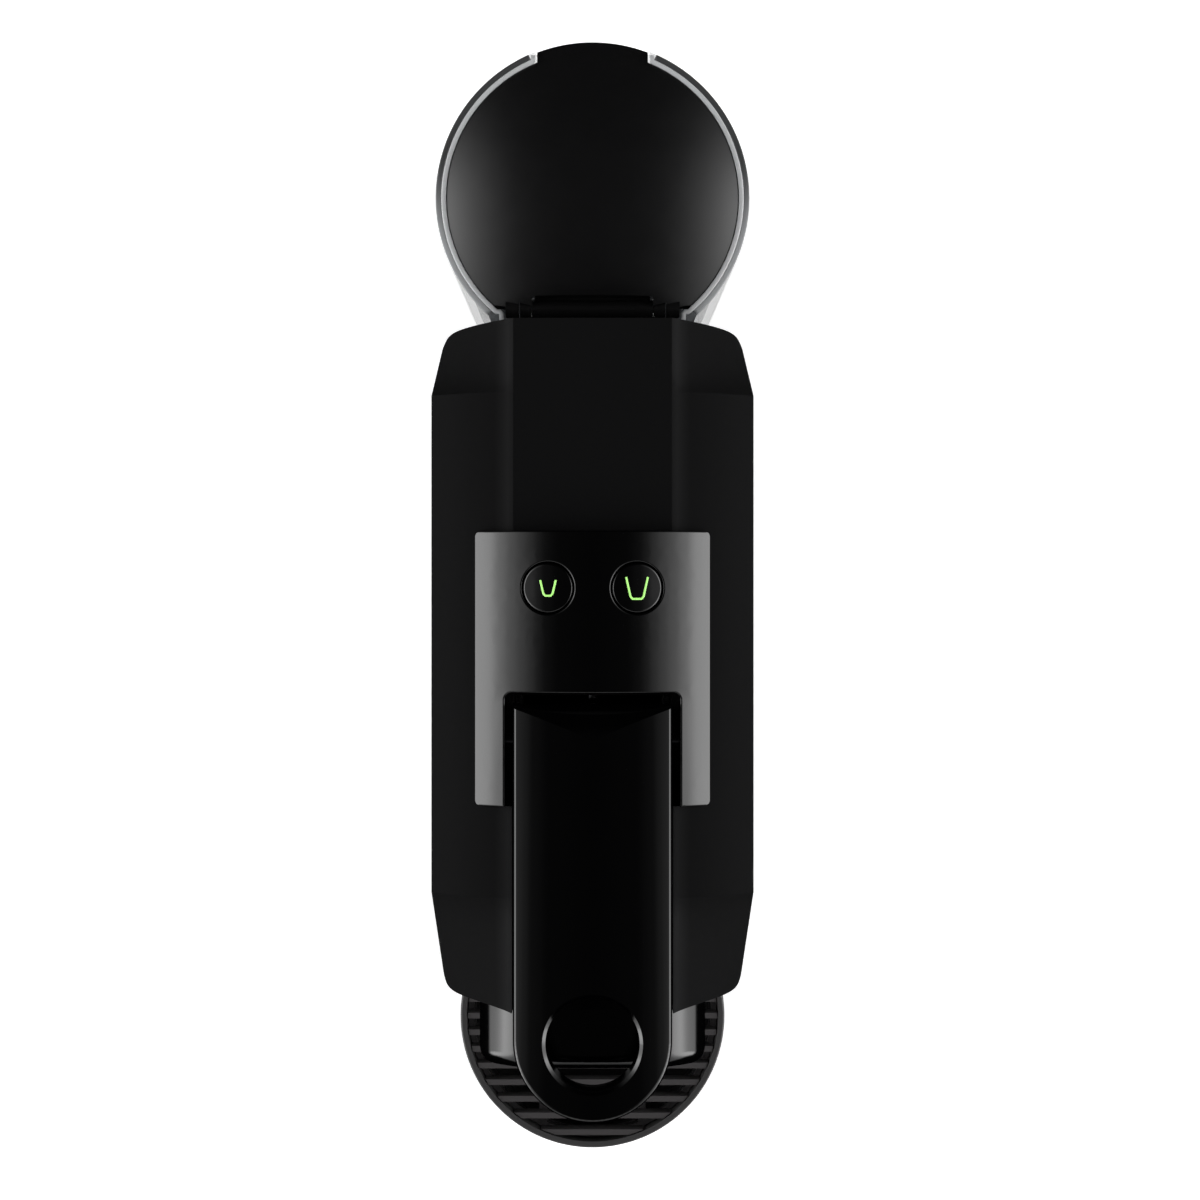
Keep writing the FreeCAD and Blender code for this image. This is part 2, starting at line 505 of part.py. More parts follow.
# ---- water circuit ------------------------------------------------------------------------------
def make_water_circuit():
    px, py = -14.0, 54.0
    coil = box(px - 17, px + 17, py - 17, py + 17, 60, 104)
    coil = fillet_where(coil, 4.0, lambda p: abs(abs(p.x - px) - 17) + abs(abs(p.y - py) - 17) < 0.02)
    barrel = fuse([coil, rod((px, py, 44), (0, 0, 1), 11, 16), rod((px, py, 104), (0, 0, 1), 12.5, 14),
                   rod((px, py, 118), (0, 0, 1), 5.0, 10), rod((px, py, 36), (0, 0, 1), 4.0, 8)])
    bore = fuse([rod((px, py, 50), (0, 0, 1), 7.0, 60), rod((px, py, 30), (0, 0, 1), 2.0, 110)])
    save("pump_body", barrel.cut(bore))
    plunger = rod((px, py, 66), (0, 0, 1), 6.94, 30).fuse(rod((px, py, 96), (0, 0, 1), 1.94, 19))
    save("pump_plunger", plunger.cut(rod((px, py, 60), (0, 0, 1), 1.2, 60)))
    save("pump_rubber_mounts", [tube((px, py, 50), (0, 0, 1), 15.0, 11.05, 6.0),
                                tube((px, py, 106), (0, 0, 1), 16.5, 12.55, 6.0)])
    brackets = []
    for z, inner in ((50, 15.05), (106, 16.55)):
        arm = box(-36.5, px + 19, py - 19, py + 19, z + 0.5, z + 5.5)
        brackets.append(arm.cut(rod((px, py, z - 1), (0, 0, 1), inner, 10)))
    spine = box(-39.0, -36.5, py - 19, py + 19, BASE_Z + 0.4, 112)
    save("pump_bracket", fuse([spine] + brackets))

    heater = box(-24.3, 24.3, 20, 50, 130, 162)
    heater = fillet_where(heater, 4.0, lambda p: abs(abs(p.x) - 24.3) < 0.01 and abs(p.z - 146) < 1)
    fins = [box(-20, 20, 23 + i * 6, 25 + i * 6, 162, 166) for i in range(5)]
    heater = fuse([heater, rod((0, 50, 140), (0, 1, 0), 4.0, 6)] + fins)
    save("thermoblock", heater)
    terminals = [box(x - 3, x + 3, 26, 42, 124, 130) for x in (-14, 14)]
    save("heater_terminals", terminals)
    fuses = [rod((x, 36, 166), (0, 0, 1), 5.0, 5.0) for x in (-12, 12)]
    save("thermal_cutouts", fuses)

    meter = fuse([rod((17, 60, 44), (0, 0, 1), 12, 14), rod((17, 60, 36), (0, 0, 1), 3.5, 8),
                  rod((17, 60, 58), (0, 0, 1), 3.5, 8)])
    save("flow_meter", meter.cut(rod((17, 60, 30), (0, 0, 1), 1.8, 40)))
    save("hose_tank_to_meter", hose([(0, 106.5, 7.4), (0, 74, 7.4), (17, 60, 16), (17, 60, 36)], 1.9, 5.0))
    save("hose_meter_to_pump",
         hose([(17, 60, 66), (17, 60, 76), (10, 76, 76), (10, 76, 26), (px, py, 22), (px, py, 36)], 2.6, 4.5))
    save("hose_pump_to_heater",
         hose([(px, py, 128), (px, py, 146), (px, 66, 146), (0, 66, 140), (0, 56, 140)], 2.6, 4.2))
    nozzle = tube((0, 110, 10), (0, 0, 1), 6.2, 3.0, 4.0)
    pin = rod((0, 110, 10), (0, 0, 1), 1.0, 2.6)
    bridge = box(-3.4, 3.4, 109.2, 110.8, 10, 11)
    elbow = tube((0, 110, 5.4), (0, 0, 1), 3.1, 1.6, 4.6)
    save("tank_socket", fuse([nozzle, pin, bridge, elbow]))


# ---- electronics --------------------------------------------------------------------------------
def make_electronics():
    board = box(-18.5, 18.5, 3, 30, 187.4, 189.0)
    save("button_board", cut(board, [rod((x, 26, 180), (0, 0, 1), 1.2, 20) for x in (-15, 15)]))
    save("button_switches", [box(x - 3, x + 3, BUTTON_Y - 3, BUTTON_Y + 3, 189.0, 192.3)
                             for x in (-BUTTON_X, BUTTON_X)])
    screws = [rod((x, 26, 185.8), (0, 0, 1), 2.4, 1.6).fuse(rod((x, 26, 187.4), (0, 0, 1), 1.2, 5.0))
              for x in (-15, 15)]
    save("button_board_screws", [s.removeSplitter() for s in screws])
    save("power_board", box(34.0, 35.6, -2, 62, 30, 112))
    parts = [box(26.0, 34.0, 4, 22, 40, 62), box(28.0, 34.0, 28, 42, 40, 56), box(29.5, 34.0, 6, 20, 76, 92)]
    parts += [rod((34.0, 34, 72), (-1, 0, 0), 4.0, 10), rod((34.0, 50, 92), (-1, 0, 0), 3.2, 8)]
    save("power_board_parts", parts)
    rails = [box(33.4, 39.8, -4.4, -2, 30, 112), box(33.4, 39.8, 62, 64.4, 30, 112)]
    save("power_board_rails", rails)


# ---- water tank ---------------------------------------------------------------------------------
def tank_solid(inset, z0, z1):
    flat = TANK_FLAT_Y + (inset if inset else 0)
    body = rod((0, ROUND_Y, z0), (0, 0, 1), HALF_W - inset, z1 - z0).common(box(-60, 60, flat, 200, z0, z1))
    return fillet_where(body, max(5.0 - inset, 1.0), lambda p: (
        abs(p.y - flat) < 0.1 and abs(p.x) > 15 and abs(p.z - (z0 + z1) / 2) < 1))


HINGE_Y, HINGE_Z = 91.4, TANK_TOP - 0.2


def make_tank():
    tank = tank_solid(0, 17.0, TANK_TOP).fuse(tank_solid(NECK_INSET, 10.6, 17.5))
    tank = tank.removeSplitter()
    wall = 2.5
    tank = cut(tank, [tank_solid(wall, 17.0 + wall, TANK_TOP + 5), tank_solid(NECK_INSET + wall, 13.0, 25)])
    notch = box(-15.4, 15.4, 155, 175, TANK_TOP - 4.0, TANK_TOP + 5)
    front_gap = box(-23.9, 23.9, TANK_FLAT_Y - 2, 95.5, TANK_TOP - 6.2, TANK_TOP + 5)
    tank = cut(tank, [notch, front_gap, rod((0, 110, 5), (0, 0, 1), 8.0, 15)])
    save("water_tank", tank)
    post = fuse([box(16.6, 19.6, TANK_FLAT_Y + 0.4, HINGE_Y, TANK_TOP - 6.2, TANK_TOP - 4.5),
                 box(16.6, 19.6, HINGE_Y - 1.5, HINGE_Y + 2.3, TANK_TOP - 6.2, HINGE_Z),
                 rod((16.6, HINGE_Y, HINGE_Z), (1, 0, 0), 2.3, 3.0)])
    save("lid_hinge_posts", both(post.cut(rod((10, HINGE_Y, HINGE_Z), (1, 0, 0), 1.0, 20))))
    save("lid_hinge_pin", rod((-19.6, HINGE_Y, HINGE_Z), (1, 0, 0), 1.0, 39.2))
    seat = fuse([tube((0, 110, 10.8), (0, 0, 1), 8.0, 6.6, 6.0),
                 tube((0, 110, 15.5), (0, 0, 1), 10.0, 2.4, 2.5)])
    save("tank_valve_seat", seat)
    poppet = fuse([rod((0, 110, 18.1), (0, 0, 1), 3.9, 1.6), rod((0, 110, 12.9), (0, 0, 1), 1.2, 5.4),
                   rod((0, 110, 19.7), (0, 0, 1), 1.2, 4.0)])
    save("tank_valve_poppet", poppet)
    cap = fuse([tube((0, 110, 18.6), (0, 0, 1), 8.4, 6.6, 8.6),
                tube((0, 110, 27.2), (0, 0, 1), 8.4, 1.5, 1.4)])
    windows = [box(-3, 3, 95, 125, 19.6, 25.6), box(-15, 15, 107, 113, 19.6, 25.6)]
    save("tank_valve_cage", cut(cap, windows))


def make_lid():
    """Domed lid with a tab at the back and a knuckle at the front, cut clear of the tank's hinge posts."""
    radius = HALF_W - 2.5 - 0.35
    centre = V(0, ROUND_Y, TANK_TOP - 0.2 - math.sqrt(LID_R ** 2 - radius ** 2))
    disc = rod((0, ROUND_Y, TANK_TOP - 2.4), (0, 0, 1), radius, 14).common(box(-60, 60, 91.6, 200, 100, 200))
    front = box(-23.5, 23.5, HINGE_Y, 98, TANK_TOP - 2.9, TANK_TOP + 9)
    tab = rod((0, ROUND_Y, TANK_TOP - 4), (0, 0, 1), HALF_W, 14).common(
        box(-15.0, 15.0, 150, 175, TANK_TOP - 3.8, TANK_TOP + 9))
    cheeks = both(box(16.3, 23.5, 88.2, 98, HINGE_Z + 1.4, TANK_TOP + 9))
    body = fuse([disc, front, tab] + cheeks).common(Part.makeSphere(LID_R, centre))
    hollow = rod((0, ROUND_Y, 130), (0, 0, 1), radius - 2.0, 60).common(Part.makeSphere(LID_R - 2.2, centre))
    hollow = hollow.cut(box(-60, 60, 60, 98, 100, 200))
    recess = box(-16.3, 16.3, 85, 94.6, 100, 200)
    post_gaps = both(box(16.3, 19.9, 85, 94.6, 100, HINGE_Z).fuse(
        rod((16.3, HINGE_Y, HINGE_Z), (1, 0, 0), 2.75, 3.6)))
    body = cut(body, [hollow, recess] + post_gaps)
    knuckle = rod((-16.3, HINGE_Y, HINGE_Z), (1, 0, 0), 2.4, 32.6)
    bridge = box(-15.6, 15.6, HINGE_Y, 98.4, TANK_TOP - 2.2, TANK_TOP - 0.6)
    ends = both(rod((19.9, HINGE_Y, HINGE_Z), (1, 0, 0), 2.4, 3.6))
    lid = fuse([body, knuckle, bridge] + ends)
    lid = lid.cut(rod((-30, HINGE_Y, HINGE_Z), (1, 0, 0), 1.05, 60))
    save("tank_lid", lid)


# ---- drip tray ----------------------------------------------------------------------------------
def make_tray():
    tub = rod((0, -ROUND_Y, 4.0), (0, 0, 1), HALF_W, TRAY_TOP - 4.0)
    tub = fillet_where(tub, 4.0, lambda p: p.z < 4.1)
    tub = fillet_where(tub, 0.7, lambda p: p.z > TRAY_TOP - 0.1)
    back = box(-33.4, 33.4, LOW_FRONT - 9.5, LOW_FRONT - 0.2, 4.0, TRAY_TOP)
    hollow = [rod((0, -ROUND_Y, 6.2), (0, 0, 1), HALF_W - 2.0, 60),
              box(-31.4, 31.4, -100, LOW_FRONT - 2.2, 6.2, 60)]
    ledge = tube((0, -ROUND_Y, 28.6), (0, 0, 1), HALF_W - 2.0, HALF_W - 4.4, 2.6)
    ledge = ledge.cut(box(-50, 50, LOW_FRONT - 10, 0, 0, 60))
    save("drip_tray", fuse([cut(fuse([tub, back]), hollow), ledge]))
    drawer = box(-33.4, 33.4, LOW_FRONT - 0.2, -6.0, 4.0, 15.5)
    save("tray_drawer", drawer.cut(box(-31.4, 31.4, -90, -8.0, 6.2, 40)))
    save("tray_feet", [rod((x, -ROUND_Y - 8, 0), (0, 0, 1), 5.0, 4.0) for x in (-22, 22)])

    ring = tube((0, -ROUND_Y, 31.5), (0, 0, 1), HALF_W - 2.35, HALF_W - 4.0, 4.5)
    limit = rod((0, -ROUND_Y, 30), (0, 0, 1), HALF_W - 2.35, 20)
    slats = []
    for i in range(15):
        y = -ROUND_Y + (i - 7) * SLAT_PITCH
        bar = prism_yz([(y - 0.9, 35.5), (y + 1.1, 35.5), (y + 0.9, TRAY_TOP - 0.4),
                        (y - 0.9, TRAY_TOP - 0.4)], -45, 45)
        slats.append(bar.common(limit))
    beams = [box(x - 1.2, x + 1.2, -ROUND_Y - 38, -ROUND_Y + 38, 31.5, 36.0).common(limit) for x in (-16, 16)]
    save("drip_grid", fuse([ring] + slats + beams))

    bin_outer = box(-31.2, 31.2, LOW_FRONT, -9.0, 6.2, 95.5)
    bin_outer = fillet_where(bin_outer, 3.0, lambda p: abs(abs(p.x) - 31.2) < 0.01 and 40 < p.z < 60)
    bin_inner = box(-29.2, 29.2, LOW_FRONT + 2.0, -11.0, 8.4, 120)
    save("capsule_container", bin_outer.cut(bin_inner))


make_housing()
make_nose()
make_panel()
make_buttons()
make_base()
make_lever()
make_cams()
make_cage()
make_brew_frame()
make_water_circuit()
make_electronics()
make_tank()
make_lid()
make_tray()
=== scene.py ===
"""Pod coffee machine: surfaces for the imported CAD, the lit button signs, the tank's rim and the light."""

import json
import math

import bmesh
import bpy
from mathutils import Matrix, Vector
from mathutils.bvhtree import BVHTree


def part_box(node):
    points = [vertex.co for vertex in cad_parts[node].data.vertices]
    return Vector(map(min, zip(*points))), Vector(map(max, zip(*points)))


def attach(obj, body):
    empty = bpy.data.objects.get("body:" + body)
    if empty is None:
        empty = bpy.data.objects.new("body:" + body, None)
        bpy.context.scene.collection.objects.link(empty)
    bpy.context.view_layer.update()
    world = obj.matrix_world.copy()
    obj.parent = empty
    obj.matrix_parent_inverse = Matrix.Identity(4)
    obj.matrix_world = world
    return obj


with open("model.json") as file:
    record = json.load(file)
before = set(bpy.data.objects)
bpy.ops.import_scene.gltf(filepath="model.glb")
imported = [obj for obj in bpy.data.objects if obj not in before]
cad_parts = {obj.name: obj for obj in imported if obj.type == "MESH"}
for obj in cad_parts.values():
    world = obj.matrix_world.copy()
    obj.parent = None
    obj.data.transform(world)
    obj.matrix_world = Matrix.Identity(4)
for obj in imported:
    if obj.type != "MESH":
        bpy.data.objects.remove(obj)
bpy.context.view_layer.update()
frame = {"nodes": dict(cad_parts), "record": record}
NODES = frame["nodes"]
SLOT_OF = {s["node"]: s["material_slot"] for s in frame["record"]["subparts"]}
MM = 0.001

BODY_COLOR = (0.0058, 0.0058, 0.0060)
CREASE_HIGHLIGHT_COLOR = (0.0125, 0.0125, 0.0128)    # a painted highlight: the body's colour made lighter along the two creases of its top
CREASE = (20.4 * MM, 25.4 * MM)         # how far from the middle the painted highlight bands begin and end
SIDE_STRENGTH, SIDE_STRENGTH_BEHIND, END_STRENGTH = 6.5, 2.0, 1.2


# ---- materials ----------------------------------------------------------------------------------
class Material:
    """A Principled material in metres, with helpers for the noise that breaks up its surface."""

    def __init__(self, name, color, roughness, **sockets):
        self.mat = bpy.data.materials.new(name)
        self.mat.use_nodes = True
        self.tree = self.mat.node_tree
        self.bsdf = self.tree.nodes["Principled BSDF"]
        self.bsdf.inputs["Base Color"].default_value = (*color, 1)
        self.bsdf.inputs["Roughness"].default_value = roughness
        for key, value in sockets.items():
            self.bsdf.inputs[key.replace("_", " ")].default_value = value
        self.height = None
        self.coords = self.node("ShaderNodeTexCoord")

    def node(self, kind, **values):
        made = self.tree.nodes.new(kind)
        for key, value in values.items():
            if key in made.inputs:
                made.inputs[key].default_value = value
            else:
                setattr(made, key, value)
        return made

    def link(self, a, b):
        self.tree.links.new(a, b)

    def noise(self, scale, detail=4.0, stretch=(1, 1, 1)):
        mapping = self.node("ShaderNodeMapping")
        mapping.inputs["Scale"].default_value = stretch
        self.link(self.coords.outputs["Object"], mapping.inputs["Vector"])
        texture = self.node("ShaderNodeTexNoise", Scale=scale, Detail=detail)
        self.link(mapping.outputs["Vector"], texture.inputs["Vector"])
        return texture.outputs["Fac"]

    def voronoi(self, scale):
        texture = self.node("ShaderNodeTexVoronoi", Scale=scale)
        self.link(self.coords.outputs["Object"], texture.inputs["Vector"])
        return texture.outputs["Distance"]

    def vary_roughness(self, fac, low, high):
        span = self.node("ShaderNodeMapRange")
        span.inputs["To Min"].default_value = low
        span.inputs["To Max"].default_value = high
        self.link(fac, span.inputs["Value"])
        self.link(span.outputs["Result"], self.bsdf.inputs["Roughness"])
        return self

    def vary_color(self, fac, a, b):
        mix = self.node("ShaderNodeMix", data_type="RGBA")
        mix.inputs["A"].default_value = (*a, 1)
        mix.inputs["B"].default_value = (*b, 1)
        self.link(fac, mix.inputs["Factor"])
        self.link(mix.outputs["Result"], self.bsdf.inputs["Base Color"])
        return self

    def bump(self, fac, depth_mm, strength=1.0):
        made = self.node("ShaderNodeBump", Strength=strength, Distance=depth_mm * MM)
        self.link(fac, made.inputs["Height"])
        if self.height is not None:
            self.link(self.height, made.inputs["Normal"])
        self.height = made.outputs["Normal"]
        self.link(self.height, self.bsdf.inputs["Normal"])
        return self


def textured_plastic(name, color, roughness, specular=0.4):
    """Spark-eroded plastic: a fine even grain."""
    m = Material(name, color, roughness, **{"Specular_IOR_Level": specular})
    dark = [c * 0.86 for c in color]
    m.vary_color(m.noise(90, 3), dark, color)
    m.vary_roughness(m.noise(400, 5), roughness - 0.05, roughness + 0.06)
    m.bump(m.noise(5200, 2), 0.012)
    return m.bump(m.voronoi(2600), 0.008)


def body_plastic():
    """The cover's fine texture, with a highlight painted in along the two creases of its top: a lighter colour
    and a lower roughness there.
    """
    m = textured_plastic("body_textured_black", BODY_COLOR, 0.72, 0.03)
    split = m.node("ShaderNodeSeparateXYZ")
    m.link(m.coords.outputs["Object"], split.inputs[0])
    across = m.node("ShaderNodeMath", operation="ABSOLUTE")
    m.link(split.outputs["X"], across.inputs[0])
    ramp = m.node("ShaderNodeValToRGB")
    span = m.node("ShaderNodeMapRange")
    span.inputs["From Min"].default_value, span.inputs["From Max"].default_value = CREASE
    m.link(across.outputs[0], span.inputs["Value"])
    m.link(span.outputs["Result"], ramp.inputs["Fac"])
    stops = ramp.color_ramp.elements
    stops[0].position, stops[0].color = 0.0, (0, 0, 0, 1)
    stops[1].position, stops[1].color = 1.0, (0, 0, 0, 1)
    for position, level in ((0.06, 0.6), (0.3, 1.0), (0.62, 0.45)):
        stops.new(position).color = (level, level, level, 1)
    # painted highlight: the band mask lightens the colour along the creases and lowers the roughness there
    m.vary_color(ramp.outputs["Color"], BODY_COLOR, CREASE_HIGHLIGHT_COLOR)
    m.vary_roughness(ramp.outputs["Color"], 0.70, 0.55)
    return m


def gloss_plastic(name, color, roughness=0.06):
    """Polished plastic: a very faint moulding waviness and wiping haze."""
    m = Material(name, color, roughness, **{"Specular_IOR_Level": 0.5})
    m.vary_roughness(m.noise(60, 6), roughness * 0.7, roughness * 1.5)
    return m.bump(m.noise(22, 2), 0.004)


def satin_plastic(name, color, roughness, specular=0.5):
    m = Material(name, color, roughness, **{"Specular_IOR_Level": specular})
    m.vary_roughness(m.noise(180, 5), roughness - 0.04, roughness + 0.05)
    return m.bump(m.noise(3800, 2), 0.006)


def metal(name, color, roughness, stretch):
    m = Material(name, color, roughness, Metallic=1.0)
    grain = m.noise(900, 3, stretch)
    m.vary_roughness(grain, roughness - 0.08, roughness + 0.1)
    return m.bump(grain, 0.006)


def clear_plastic(name, color, alpha):
    m = Material(name, color, 0.05, Alpha=alpha, IOR=1.49)
    m.vary_roughness(m.noise(40, 5), 0.03, 0.09)
    return m.bump(m.noise(30, 2), 0.003)


def make_materials():
    made = {
        "matte_black": body_plastic(),
        "panel_black": textured_plastic("side_textured_black", (0.0060, 0.0060, 0.0063), 0.52, 0.35),
        "gloss_black": gloss_plastic("polished_black", (0.0006, 0.0006, 0.0007), 0.10),
        "lever_black": gloss_plastic("lever_polished_black", (0.0004, 0.0004, 0.0005), 0.06),
        "button_black": gloss_plastic("button_polished_black", (0.0005, 0.0005, 0.0006), 0.06),
        "lid_black": satin_plastic("lid_satin_black", (0.0050, 0.0050, 0.0052), 0.24, 0.5),
        "tray_black": satin_plastic("tray_satin_grey", (0.046, 0.045, 0.0455), 0.36),
        "grid_grey": satin_plastic("grid_satin_grey", (0.052, 0.049, 0.050), 0.42),
        "bin_black": satin_plastic("bin_black", (0.014, 0.014, 0.015), 0.4),
        "frame_grey": textured_plastic("frame_moulded_grey", (0.05, 0.05, 0.053), 0.5),
        "cage_grey": textured_plastic("cage_moulded_grey", (0.035, 0.035, 0.038), 0.45),
        "steel": metal("brushed_steel", (0.60, 0.60, 0.61), 0.28, (1, 12, 1)),
        "black_steel": metal("blackened_steel", (0.012, 0.012, 0.013), 0.34, (1, 12, 1)),
        "cast_alloy": metal("cast_alloy", (0.66, 0.67, 0.68), 0.48, (1, 1, 1)),
        "brass": metal("machined_brass", (0.72, 0.52, 0.22), 0.3, (1, 1, 10)),
        "rubber_black": textured_plastic("rubber_black", (0.012, 0.012, 0.012), 0.78),
        "silicone": satin_plastic("silicone", (0.62, 0.61, 0.58), 0.45),
        "white_plastic": textured_plastic("moulded_white", (0.7, 0.7, 0.68), 0.42),
        "coil_black": textured_plastic("moulded_coil_black", (0.016, 0.016, 0.018), 0.5),
        "board_green": satin_plastic("board_lacquer", (0.012, 0.09, 0.035), 0.25),
        "smoke_clear": clear_plastic("smoked_clear_plastic", (0.24, 0.25, 0.26), 0.22),
    }
    return {slot: m.mat for slot, m in made.items()}


def sign_material():
    m = Material("sign_green_light", (0.30, 0.62, 0.16), 0.35)
    m.bsdf.inputs["Emission Color"].default_value = (0.36, 0.80, 0.17, 1)
    m.bsdf.inputs["Emission Strength"].default_value = 0.75
    m.vary_roughness(m.noise(1500, 2), 0.3, 0.4)
    return m.mat


MATERIALS = make_materials()
for name, node in NODES.items():
    node.data.materials.clear()
    node.data.materials.append(MATERIALS[SLOT_OF[name]])


# ---- added pieces -------------------------------------------------------------------------------
def new_object(name, mesh_builder, material, body):
    mesh = bpy.data.meshes.new(name)
    bm = bmesh.new()
    mesh_builder(bm)
    bm.normal_update()
    bm.to_mesh(mesh)
    bm.free()
    obj = bpy.data.objects.new(name, mesh)
    bpy.context.scene.collection.objects.link(obj)
    mesh.materials.append(material)
    for poly in mesh.polygons:
        poly.use_smooth = True
    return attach(obj, body)


def surface_of(node):
    """The node's triangles as a tree for ray casts."""
    mesh = NODES[node].data
    return BVHTree.FromPolygons([v.co for v in mesh.vertices], [p.vertices for p in mesh.polygons])


def cup_sign(name, node, body, width, height, material):
    """An open cup outline, wider at the rim, laid on the button's curved top."""
    low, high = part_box(node)
    cx, cy, top = (low.x + high.x) / 2, (low.y + high.y) / 2, high.z + 0.01
    tree = surface_of(node)
    foot, line, rise = width * 0.30, 0.28 * MM, 0.07 * MM
    path = [(-width / 2, height / 2), (-foot, -height / 2 + 0.6 * MM), (-foot + 0.5 * MM, -height / 2),
            (foot - 0.5 * MM, -height / 2), (foot, -height / 2 + 0.6 * MM), (width / 2, height / 2)]

    def build(bm):
        rows, samples = [], []
        points = [Vector(p) for p in path]
        for a, b in zip(points, points[1:]):
            samples += [a.lerp(b, t / 4) for t in range(4)]
        samples.append(points[-1])
        for i, p in enumerate(samples):
            along = (samples[min(i + 1, len(samples) - 1)] - samples[max(i - 1, 0)]).normalized()
            side = Vector((-along.y, along.x))
            row = []
            for offset, lift in ((-1, -0.05 * MM), (-0.8, rise), (0.8, rise), (1, -0.05 * MM)):
                q = p + side * offset * line
                hit = tree.ray_cast(Vector((cx + q.x, cy + q.y, top)), Vector((0, 0, -1)))[0]
                row.append(bm.verts.new((hit.x, hit.y, hit.z + lift)))
            rows.append(row)
        for r0, r1 in zip(rows, rows[1:]):
            for i in range(3):
                bm.faces.new((r0[i], r0[i + 1], r1[i + 1], r1[i]))
        bm.faces.new(rows[0])
        bm.faces.new(list(reversed(rows[-1])))
    return new_object(name, build, material, body)


SIGN = sign_material()
cup_sign("small_cup_sign", "espresso_button", "small_cup_button", 4.0 * MM, 4.0 * MM, SIGN)
cup_sign("large_cup_sign", "lungo_button", "large_cup_button", 5.6 * MM, 5.6 * MM, SIGN)


def strip(bm, points, half, low, high):
    """A flat band with rounded edges along a line of plan points, and its mirror image across X = 0."""
    for sign in (1, -1):
        rows = []
        for i, p in enumerate(points):
            along = (points[min(i + 1, len(points) - 1)] - points[max(i - 1, 0)]).normalized()
            side = Vector((-along.y, along.x))
            row = []
            for offset, z in ((-half, low), (-half, high - 0.1 * MM), (-half + 0.25 * MM, high),
                              (half - 0.25 * MM, high), (half, high - 0.1 * MM), (half, low)):
                q = p + side * offset
                row.append(bm.verts.new((sign * q.x, q.y, z)))
            rows.append(row)
        for r0, r1 in zip(rows, rows[1:]):
            for i in range(6):
                bm.faces.new((r0[i], r0[(i + 1) % 6], r1[(i + 1) % 6], r1[i]))
        bm.faces.new(rows[0])
        bm.faces.new(list(reversed(rows[-1])))
    bmesh.ops.recalc_face_normals(bm, faces=bm.faces)


def arc(centre, radius, a0, a1, steps=96):
    return [centre + Vector((math.cos(a), math.sin(a))) * radius
            for a in (a0 + (a1 - a0) * i / steps for i in range(steps + 1))]


def tank_rim():
    """The tank's open edge: a pale grey band next to the lid, a painted highlight along the clear edge, and
    the smoky edge of the clear wall outside it, painted lighter towards the front as a highlight.
    """
    low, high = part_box("water_tank")
    radius = (high.x - low.x) / 2
    centre = Vector((0, high.y - radius))
    top = high.z
    lip, edge = radius - 2.22 * MM, radius - 0.78 * MM
    notch_x, flat_y = 16.1 * MM, centre.y - 30.75 * MM

    def angle_at(r, x):
        return math.acos(x / r)

    turn = -math.asin((centre.y - flat_y) / lip)
    lip_points = [Vector((24.6 * MM, low.y + 0.9 * MM)), Vector((24.6 * MM, flat_y - 0.5 * MM)),
                  Vector((25.1 * MM, flat_y)), Vector((26.0 * MM, flat_y))]
    lip_points += arc(centre, lip, turn + 0.012, angle_at(lip, notch_x + 0.3 * MM))
    lip_points += [Vector((notch_x, lip_points[-1].y + 0.4 * MM)),
                   Vector((notch_x, centre.y + radius * 0.908))]
    edge_points = arc(centre, edge, turn + 0.03, angle_at(edge, notch_x + 0.9 * MM))

    # painted highlight: the clear lip is coloured pale grey where the clear edge catches the light
    m = Material("clear_lip_painted_highlight", (0.60, 0.61, 0.62), 0.25)
    m.vary_roughness(m.noise(300, 3), 0.2, 0.34)
    m.bump(m.noise(900, 2), 0.004)
    new_object("tank_rim_painted_highlight",
               lambda bm: strip(bm, lip_points, 0.62 * MM, top - 0.9 * MM, top + 0.25 * MM),
               m.mat, "tank")

    # the clear wall's edge: smoky dark grey at the back, with a highlight painted in that makes it lighter
    # towards the front
    m = Material("clear_wall_edge_front_highlight", (0.03, 0.031, 0.032), 0.12)
    m.vary_roughness(m.noise(200, 3), 0.08, 0.2)
    split = m.node("ShaderNodeSeparateXYZ")
    m.link(m.coords.outputs["Object"], split.inputs[0])
    span = m.node("ShaderNodeMapRange", interpolation_type="SMOOTHSTEP")
    span.inputs["From Min"].default_value = centre.y + 12 * MM
    span.inputs["From Max"].default_value = centre.y - 16 * MM
    m.link(split.outputs["Y"], span.inputs["Value"])
    m.vary_color(span.outputs["Result"], (0.060, 0.061, 0.062), (0.42, 0.43, 0.44))
    new_object("tank_rim_edge",
               lambda bm: strip(bm, edge_points, 0.74 * MM, top - 0.7 * MM, top + 0.08 * MM),
               m.mat, "tank")


tank_rim()


# ---- floor, light and camera --------------------------------------------------------------------
def stage_piece(name, bm, glow):
    """A white piece of the set, which isn't part of the machine."""
    mesh = bpy.data.meshes.new(name)
    bm.to_mesh(mesh)
    bm.free()
    piece = bpy.data.objects.new(name, mesh)
    bpy.context.scene.collection.objects.link(piece)
    m = Material(name + "_white", (0.9, 0.9, 0.9), 0.7)
    m.vary_roughness(m.noise(8, 2), 0.65, 0.75)
    m.bsdf.inputs["Emission Color"].default_value = (1, 1, 1, 1)
    m.bsdf.inputs["Emission Strength"].default_value = glow
    mesh.materials.append(m.mat)
    piece.visible_glossy = False
    return piece


def make_stage():
    """A glowing white floor, and a white dome that only the camera sees, so low views have no horizon."""
    bm = bmesh.new()
    bmesh.ops.create_grid(bm, x_segments=1, y_segments=1, size=6.0)
    stage_piece("floor", bm, 0.66).location.z = -0.0005
    bm = bmesh.new()
    bmesh.ops.create_uvsphere(bm, u_segments=48, v_segments=24, radius=5.5)
    dome = stage_piece("backdrop", bm, 1.0)
    dome.visible_diffuse = dome.visible_transmission = dome.visible_shadow = False


